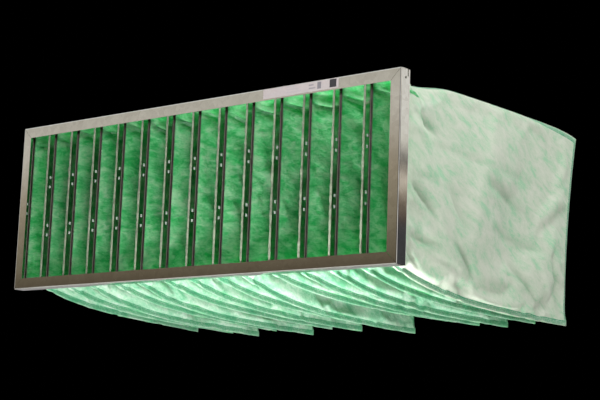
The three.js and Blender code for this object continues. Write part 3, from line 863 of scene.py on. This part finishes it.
# Coated label paper: satin white with a pink cast, and grey printed blocks that say nothing
def makeLabelPaper(name, blocks):
    material, tree = newMaterial(name)
    place = {"Vector": addNode(tree, "ShaderNodeTexCoord").outputs["Object"]}
    axes = addNode(tree, "ShaderNodeSeparateXYZ", links=place).outputs
    grain = addNode(tree, "ShaderNodeTexNoise", {"Scale": 1 / 0.004, "Detail": 3.0}, place)
    tones = {"data_type": "RGBA", 6: linear("#a9a0a0"), 7: linear("#b8b0af")}
    colour = addNode(tree, "ShaderNodeMix", tones, {0: grain.outputs["Fac"]}).outputs[2]
    for left, right, low, high, ink in blocks:
        edges = (("X", left, "GREATER_THAN"), ("X", right, "LESS_THAN"))
        edges += (("Z", low, "GREATER_THAN"), ("Z", high, "LESS_THAN"))
        inside = None
        for axis, edge, kind in edges:
            test = addNode(tree, "ShaderNodeMath", {"operation": kind, 1: edge}, {0: axes[axis]}).outputs[0]
            if inside is not None:
                both = {0: inside, 1: test}
                test = addNode(tree, "ShaderNodeMath", {"operation": "MULTIPLY"}, both).outputs[0]
            inside = test
        printed = {"data_type": "RGBA", 7: linear(ink)}
        colour = addNode(tree, "ShaderNodeMix", printed, {0: inside, 6: colour}).outputs[2]
    shader = addNode(tree, "ShaderNodeBsdfPrincipled", {"Roughness": 0.45}, {"Base Color": colour})
    addNode(tree, "ShaderNodeOutputMaterial", links={"Surface": shader.outputs[0]})
    return material


# left, right, low, high and the ink
labelBlocks = [
    (0.3035, 0.3175, 0.2965, 0.3100, "#2c2b2f"),
    (0.2780, 0.2860, 0.2975, 0.3090, "#77747a"),
    (0.2600, 0.2740, 0.2990, 0.3015, "#8b878c"),
    (0.2600, 0.2700, 0.3045, 0.3070, "#8b878c"),
    (0.2120, 0.2440, 0.2985, 0.3000, "#a8a2a6"),
    (0.2120, 0.2380, 0.3035, 0.3050, "#a8a2a6"),
    (0.2120, 0.2320, 0.3080, 0.3092, "#a8a2a6"),
]
wear("label", makeLabelPaper("Label paper", labelBlocks))
print("header: finished")

studio = {
    "floorHeight": -0.50,
    "floor": ((-6, -6), (6, 3.5)),
    "worldLevel": 0.30,
    "flatTop": 2.6,
}

softboxes = {
    "key": {"watts": 4.0, "size": (1.6, 1.2), "at": (-1.2, -1.9, 1.6), "aim": (0, 0.2, 0.15)},
    "front": {"watts": 33.0, "size": (0.7, 0.7), "at": (1.9, -1.8, 1.0), "aim": (0.1, 0.1, 0.12)},
    "fill": {"watts": 31.0, "size": (0.6, 0.6), "at": (1.12, 0.35, 1.85), "aim": (0.43, 0.3, 0.2)},
    "under": {"watts": 4.7, "size": (0.8, 0.9), "at": (0.06, 0.16, -0.45), "aim": (0.062, 0.162, 0.1)},
    "low": {"watts": 9.5, "size": (0.2, 0.3), "at": (0.33, -0.28, -0.45), "aim": (0.332, -0.278, 0.1)},
    "left": {"watts": 14.0, "size": (0.7, 0.7), "at": (-1.7, 0.6, 1.2), "aim": (-0.45, 0.3, 0.15)},
}


# A piece of the studio, which isn't part of the filter
def addPlane(name, corners, material):
    mesh = bpy.data.meshes.new(name)
    mesh.from_pydata(corners, [], [(0, 1, 2, 3)])
    mesh.materials.append(material)
    piece = bpy.data.objects.new(name, mesh)
    bpy.context.scene.collection.objects.link(piece)
    return piece


# Studio floor: pale matt paint, a little greyer to the camera so that it keeps its tone under the lamps
def makeFloorPaint():
    material, tree = newMaterial("Matt floor paint")
    place = {"Vector": addNode(tree, "ShaderNodeTexCoord").outputs["Object"]}
    grain = addNode(tree, "ShaderNodeTexNoise", {"Scale": 1 / 0.01, "Detail": 2.0}, place)
    tones = {"data_type": "RGBA", 6: linear("#b3b2af"), 7: linear("#b9b8b5")}
    seen = addNode(tree, "ShaderNodeMix", tones, {0: grain.outputs["Fac"]})
    toCamera = {0: addNode(tree, "ShaderNodeLightPath").outputs["Is Camera Ray"], 7: seen.outputs[2]}
    colour = addNode(tree, "ShaderNodeMix", {"data_type": "RGBA", 6: linear("#ecebe9")}, toCamera)
    matt = {"Roughness": 0.8, "Specular IOR Level": 0.2}
    paint = addNode(tree, "ShaderNodeBsdfPrincipled", matt, {"Base Color": colour.outputs[2]})
    fromBelow = addNode(tree, "ShaderNodeNewGeometry").outputs["Backfacing"]  # the floor lets the eye through
    clear = addNode(tree, "ShaderNodeBsdfTransparent")
    sides = {0: fromBelow, 1: paint.outputs[0], 2: clear.outputs[0]}
    mixed = addNode(tree, "ShaderNodeMixShader", links=sides)
    addNode(tree, "ShaderNodeOutputMaterial", links={"Surface": mixed.outputs[0]})
    return material


low = studio["floorHeight"]
(left, near), (right, far) = studio["floor"]
floorCorners = [(left, near, low), (right, near, low), (right, far, low), (left, far, low)]
addPlane("floor", floorCorners, makeFloorPaint())


# Grey studio flats that only the steel's reflections see
def makeFlatPaint(name, tones):
    material, tree = newMaterial(name)
    place = addNode(tree, "ShaderNodeTexCoord").outputs["Object"]
    axes = addNode(tree, "ShaderNodeSeparateXYZ", links={"Vector": place})
    (least, lowest), (most, highest) = tones[0], tones[-1]
    reach = {"From Min": least, "From Max": most}
    level = addNode(tree, "ShaderNodeMapRange", reach, {"Value": axes.outputs["Z"]})
    ramp = addNode(tree, "ShaderNodeValToRGB", links={"Fac": level.outputs[0]})
    ramp.color_ramp.elements[0].color = linear(lowest)
    ramp.color_ramp.elements[1].color = linear(highest)
    for height, colour in tones[1:-1]:
        ramp.color_ramp.elements.new((height - least) / (most - least)).color = linear(colour)
    shader = addNode(tree, "ShaderNodeEmission", {"Strength": 1.0}, {"Color": ramp.outputs["Color"]})
    addNode(tree, "ShaderNodeOutputMaterial", links={"Surface": shader.outputs[0]})
    return material


def upright(start, stop):
    top = studio["flatTop"]
    return [(*start, low), (*stop, low), (*stop, top), (*start, top)]


lowCorners = [(x, y, low + 0.01) for x, y in ((-2, -4), (2, -4), (2, -0.3), (-2, -0.3))]
# each flat with its corners and its tones by height
flats = {
    "front_flat": (upright((-9, -4.5), (-0.6, -4.5)), "Front flat paint", [
        (-0.5, "#453c33"), (0.66, "#463d33"), (0.77, "#746b5a"), (0.92, "#8c8470"),
        (1.27, "#b2a794"), (1.62, "#e6e2da"), (1.80, "#d2d0c6"), (2.6, "#e8e6e0"),
    ]),
    "dark_flat": (upright((-0.6, -4.5), (3, -4.5)), "Dark flat paint", [
        (-0.5, "#2e2824"), (0.70, "#38322e"), (1.05, "#4c4846"),
        (1.45, "#6c6c70"), (1.70, "#9a9a9c"), (2.6, "#b8b8b8"),
    ]),
    "side_flat": (upright((4.5, -1), (4.5, 9)), "Side flat paint", [
        (-0.5, "#41454b"), (1.12, "#4c4d51"), (1.17, "#545355"), (1.225, "#6d6058"), (1.277, "#7c7065"),
        (1.333, "#918679"), (1.375, "#b2a596"), (1.42, "#efe6d8"), (1.47, "#efe6d8"), (1.52, "#a9a096"),
        (1.57, "#8b8883"), (1.61, "#9b9994"), (1.655, "#d8d5cf"), (1.70, "#f6f5ec"), (1.78, "#fdfdf8"),
        (2.6, "#ffffff"),
    ]),
    "low_flat": (lowCorners, "Low flat paint", [
        (-0.6, "#f4f4f2"), (-0.4, "#f4f4f2"),
    ]),
}
for name, (corners, paint, tones) in flats.items():
    flat = addPlane(name, corners, makeFlatPaint(paint, tones))
    flat.visible_camera = False
    flat.visible_diffuse = False
    flat.visible_shadow = False
    flat.visible_transmission = False

world = bpy.data.worlds.new("Studio air")
bpy.context.scene.world = world
world.use_nodes = True
air = world.node_tree
air.nodes.clear()

# white air that lights softly; reflections see it brighter, and the camera sees the photograph's black
white, black = (1, 1, 1, 1), (0, 0, 0, 1)
path = addNode(air, "ShaderNodeLightPath").outputs
mirrors = {0: path["Is Glossy Ray"], 1: path["Is Transmission Ray"]}
mirrored = addNode(air, "ShaderNodeMath", {"operation": "MAXIMUM"}, mirrors)
soft = addNode(air, "ShaderNodeBackground", {"Color": white, "Strength": studio["worldLevel"]})
bright = addNode(air, "ShaderNodeBackground", {"Color": white, "Strength": 1.0})
dark = addNode(air, "ShaderNodeBackground", {"Color": black, "Strength": 1.0})
unseen = {0: mirrored.outputs[0], 1: soft.outputs[0], 2: bright.outputs[0]}
unseen = addNode(air, "ShaderNodeMixShader", links=unseen)
seen = {0: path["Is Camera Ray"], 1: unseen.outputs[0], 2: dark.outputs[0]}
seen = addNode(air, "ShaderNodeMixShader", links=seen).outputs[0]
addNode(air, "ShaderNodeOutputWorld", links={"Surface": seen})


def addSoftbox(name, box):
    lamp = bpy.data.lights.new(name, "AREA")
    lamp.shape = "RECTANGLE"
    lamp.size, lamp.size_y = box["size"]
    lamp.energy = box["watts"]
    piece = bpy.data.objects.new(name, lamp)
    piece.location = box["at"]
    piece.rotation_euler = (Vector(box["aim"]) - Vector(box["at"])).to_track_quat("-Z", "Y").to_euler()
    piece.visible_camera = False
    piece.visible_glossy = False
    bpy.context.scene.collection.objects.link(piece)


for name, box in softboxes.items():
    addSoftbox(name, box)
print("studio: floor, flats, lamps and air")

photographed = {
    "position": (1.7940, -1.8864, -0.3063),
    "right": (0.7752, 0.6307, 0.0358),
    "up": (0.0807, -0.1551, 0.9846),
    "lens": 90.95,
}
camera = bpy.data.cameras.new("camera")
camera.sensor_width = 36
camera.sensor_fit = "HORIZONTAL"
camera.lens = photographed["lens"]
camera.clip_end = 100
cameraPiece = bpy.data.objects.new("camera", camera)
bpy.context.scene.collection.objects.link(cameraPiece)
right, up = Vector(photographed["right"]).normalized(), Vector(photographed["up"]).normalized()
back = right.cross(up).normalized()
up = back.cross(right).normalized()
turn = Matrix((right, up, back)).transposed().to_4x4()
cameraPiece.matrix_world = Matrix.Translation(photographed["position"]) @ turn
bpy.context.scene.camera = cameraPiece

bpy.context.scene.view_settings.view_transform = "Standard"
